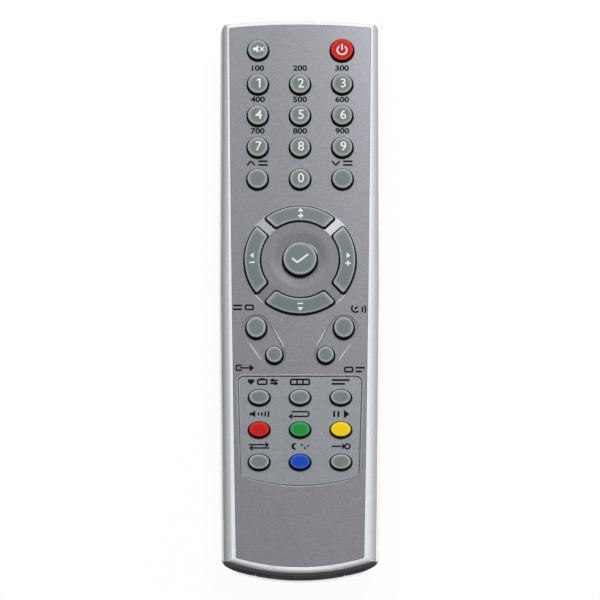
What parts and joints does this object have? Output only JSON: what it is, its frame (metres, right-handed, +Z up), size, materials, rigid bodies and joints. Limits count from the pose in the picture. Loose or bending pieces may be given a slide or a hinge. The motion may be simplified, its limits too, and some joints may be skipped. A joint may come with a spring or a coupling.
{
  "type": "remote control handset",
  "caption": "Hand-held infrared remote for a satellite receiver: curved silver face, round number keys, four-way ring, coloured oval keys, dark back with sliding battery door",
  "frame": {"origin": "on the surface that the handset lies on, under the centre of its footprint", "axes": "+Z is up, out of the keys; +Y runs along the handset to the infrared end that points at the receiver; +X is to the user's right"},
  "size_m": [0.0552, 0.192, 0.0226],
  "materials": {
    "silver_shell": "silver paint, satin",
    "silver_panel": "metallic grey paint, satin",
    "dark_shell": "fine grain",
    "dark_silicone": "matt",
    "board": "solder mask",
    "diode": "clear tinted",
    "dark_window": "polished",
    "cell": "printed sleeve, unprinted here",
    "contact_metal": "nickel plated",
    "screw_metal": "zinc plated",
    "chip": "moulded",
    "can_metal": "bare",
    "resistor": "lacquered",
    "grey_key": "matt coating",
    "red_key": "matt coating",
    "green_key": "matt coating",
    "yellow_key": "matt coating",
    "blue_key": "matt coating"
  },
  "bodies": {
    "housing": {"upper_case": "silver_shell", "face_panel": "silver_panel", "lower_case": "dark_shell", "keypad_mat": "dark_silicone", "circuit_board": "board", "ir_led": "diode", "ir_window": "dark_window", "battery_left": "cell", "battery_right": "cell", "contact_bridge": "contact_metal", "contact_positive": "contact_metal", "contact_negative": "contact_metal", "screw_left": "screw_metal", "screw_right": "screw_metal", "control_chip": "chip", "crystal_resonator": "can_metal", "capacitor": "can_metal", "drive_transistor": "chip", "resistor_1": "resistor", "resistor_2": "resistor", "resistor_3": "resistor"},
    "battery_door": {"battery_door": "dark_shell"},
    "key_mute": {"key_mute": "grey_key"},
    "key_power": {"key_power": "red_key"},
    "key_0": {"key_0": "grey_key"},
    "key_1": {"key_1": "grey_key"},
    "key_2": {"key_2": "grey_key"},
    "key_3": {"key_3": "grey_key"},
    "key_4": {"key_4": "grey_key"},
    "key_5": {"key_5": "grey_key"},
    "key_6": {"key_6": "grey_key"},
    "key_7": {"key_7": "grey_key"},
    "key_8": {"key_8": "grey_key"},
    "key_9": {"key_9": "grey_key"},
    "key_page_up": {"key_page_up": "grey_key"},
    "key_page_down": {"key_page_down": "grey_key"},
    "key_volume_up": {"key_volume_up": "grey_key"},
    "key_channel_up": {"key_channel_up": "grey_key"},
    "key_volume_down": {"key_volume_down": "grey_key"},
    "key_channel_down": {"key_channel_down": "grey_key"},
    "key_ok": {"key_ok": "grey_key"},
    "key_menu": {"key_menu": "grey_key"},
    "key_satellite": {"key_satellite": "grey_key"},
    "key_exit": {"key_exit": "grey_key"},
    "key_info": {"key_info": "grey_key"},
    "key_favourite": {"key_favourite": "grey_key"},
    "key_guide": {"key_guide": "grey_key"},
    "key_text": {"key_text": "grey_key"},
    "key_audio": {"key_audio": "red_key"},
    "key_recall": {"key_recall": "green_key"},
    "key_pause": {"key_pause": "yellow_key"},
    "key_source": {"key_source": "grey_key"},
    "key_sleep": {"key_sleep": "blue_key"},
    "key_aux": {"key_aux": "grey_key"}
  },
  "joints": [
    {"name": "battery_door_slide", "type": "slide", "parent": "housing", "child": "battery_door", "axis": [0, -1, 0], "range_m": [0, 0.072]},
    {"name": "key_mute_press", "type": "slide", "parent": "housing", "child": "key_mute", "axis": [0, 0, -1], "range_m": [0, 0.001], "stiffness_N_per_m": 1200},
    {"name": "key_power_press", "type": "slide", "parent": "housing", "child": "key_power", "axis": [0, 0, -1], "range_m": [0, 0.001], "stiffness_N_per_m": 1200},
    {"name": "key_0_press", "type": "slide", "parent": "housing", "child": "key_0", "axis": [0, 0, -1], "range_m": [0, 0.001], "stiffness_N_per_m": 1200},
    {"name": "key_1_press", "type": "slide", "parent": "housing", "child": "key_1", "axis": [0, 0, -1], "range_m": [0, 0.001], "stiffness_N_per_m": 1200},
    {"name": "key_2_press", "type": "slide", "parent": "housing", "child": "key_2", "axis": [0, 0, -1], "range_m": [0, 0.001], "stiffness_N_per_m": 1200},
    {"name": "key_3_press", "type": "slide", "parent": "housing", "child": "key_3", "axis": [0, 0, -1], "range_m": [0, 0.001], "stiffness_N_per_m": 1200},
    {"name": "key_4_press", "type": "slide", "parent": "housing", "child": "key_4", "axis": [0, 0, -1], "range_m": [0, 0.001], "stiffness_N_per_m": 1200},
    {"name": "key_5_press", "type": "slide", "parent": "housing", "child": "key_5", "axis": [0, 0, -1], "range_m": [0, 0.001], "stiffness_N_per_m": 1200},
    {"name": "key_6_press", "type": "slide", "parent": "housing", "child": "key_6", "axis": [0, 0, -1], "range_m": [0, 0.001], "stiffness_N_per_m": 1200},
    {"name": "key_7_press", "type": "slide", "parent": "housing", "child": "key_7", "axis": [0, 0, -1], "range_m": [0, 0.001], "stiffness_N_per_m": 1200},
    {"name": "key_8_press", "type": "slide", "parent": "housing", "child": "key_8", "axis": [0, 0, -1], "range_m": [0, 0.001], "stiffness_N_per_m": 1200},
    {"name": "key_9_press", "type": "slide", "parent": "housing", "child": "key_9", "axis": [0, 0, -1], "range_m": [0, 0.001], "stiffness_N_per_m": 1200},
    {"name": "key_page_up_press", "type": "slide", "parent": "housing", "child": "key_page_up", "axis": [0, 0, -1], "range_m": [0, 0.001], "stiffness_N_per_m": 1200},
    {"name": "key_page_down_press", "type": "slide", "parent": "housing", "child": "key_page_down", "axis": [0, 0, -1], "range_m": [0, 0.001], "stiffness_N_per_m": 1200},
    {"name": "key_volume_up_press", "type": "slide", "parent": "housing", "child": "key_volume_up", "axis": [0, 0, -1], "range_m": [0, 0.001], "stiffness_N_per_m": 1200},
    {"name": "key_channel_up_press", "type": "slide", "parent": "housing", "child": "key_channel_up", "axis": [0, 0, -1], "range_m": [0, 0.001], "stiffness_N_per_m": 1200},
    {"name": "key_volume_down_press", "type": "slide", "parent": "housing", "child": "key_volume_down", "axis": [0, 0, -1], "range_m": [0, 0.001], "stiffness_N_per_m": 1200},
    {"name": "key_channel_down_press", "type": "slide", "parent": "housing", "child": "key_channel_down", "axis": [0, 0, -1], "range_m": [0, 0.001], "stiffness_N_per_m": 1200},
    {"name": "key_ok_press", "type": "slide", "parent": "housing", "child": "key_ok", "axis": [0, 0, -1], "range_m": [0, 0.001], "stiffness_N_per_m": 1200},
    {"name": "key_menu_press", "type": "slide", "parent": "housing", "child": "key_menu", "axis": [0, 0, -1], "range_m": [0, 0.001], "stiffness_N_per_m": 1200},
    {"name": "key_satellite_press", "type": "slide", "parent": "housing", "child": "key_satellite", "axis": [0, 0, -1], "range_m": [0, 0.001], "stiffness_N_per_m": 1200},
    {"name": "key_exit_press", "type": "slide", "parent": "housing", "child": "key_exit", "axis": [0, 0, -1], "range_m": [0, 0.001], "stiffness_N_per_m": 1200},
    {"name": "key_info_press", "type": "slide", "parent": "housing", "child": "key_info", "axis": [0, 0, -1], "range_m": [0, 0.001], "stiffness_N_per_m": 1200},
    {"name": "key_favourite_press", "type": "slide", "parent": "housing", "child": "key_favourite", "axis": [0, 0, -1], "range_m": [0, 0.001], "stiffness_N_per_m": 1200},
    {"name": "key_guide_press", "type": "slide", "parent": "housing", "child": "key_guide", "axis": [0, 0, -1], "range_m": [0, 0.001], "stiffness_N_per_m": 1200},
    {"name": "key_text_press", "type": "slide", "parent": "housing", "child": "key_text", "axis": [0, 0, -1], "range_m": [0, 0.001], "stiffness_N_per_m": 1200},
    {"name": "key_audio_press", "type": "slide", "parent": "housing", "child": "key_audio", "axis": [0, 0, -1], "range_m": [0, 0.001], "stiffness_N_per_m": 1200},
    {"name": "key_recall_press", "type": "slide", "parent": "housing", "child": "key_recall", "axis": [0, 0, -1], "range_m": [0, 0.001], "stiffness_N_per_m": 1200},
    {"name": "key_pause_press", "type": "slide", "parent": "housing", "child": "key_pause", "axis": [0, 0, -1], "range_m": [0, 0.001], "stiffness_N_per_m": 1200},
    {"name": "key_source_press", "type": "slide", "parent": "housing", "child": "key_source", "axis": [0, 0, -1], "range_m": [0, 0.001], "stiffness_N_per_m": 1200},
    {"name": "key_sleep_press", "type": "slide", "parent": "housing", "child": "key_sleep", "axis": [0, 0, -1], "range_m": [0, 0.001], "stiffness_N_per_m": 1200},
    {"name": "key_aux_press", "type": "slide", "parent": "housing", "child": "key_aux", "axis": [0, 0, -1], "range_m": [0, 0.001], "stiffness_N_per_m": 1200}
  ]
}
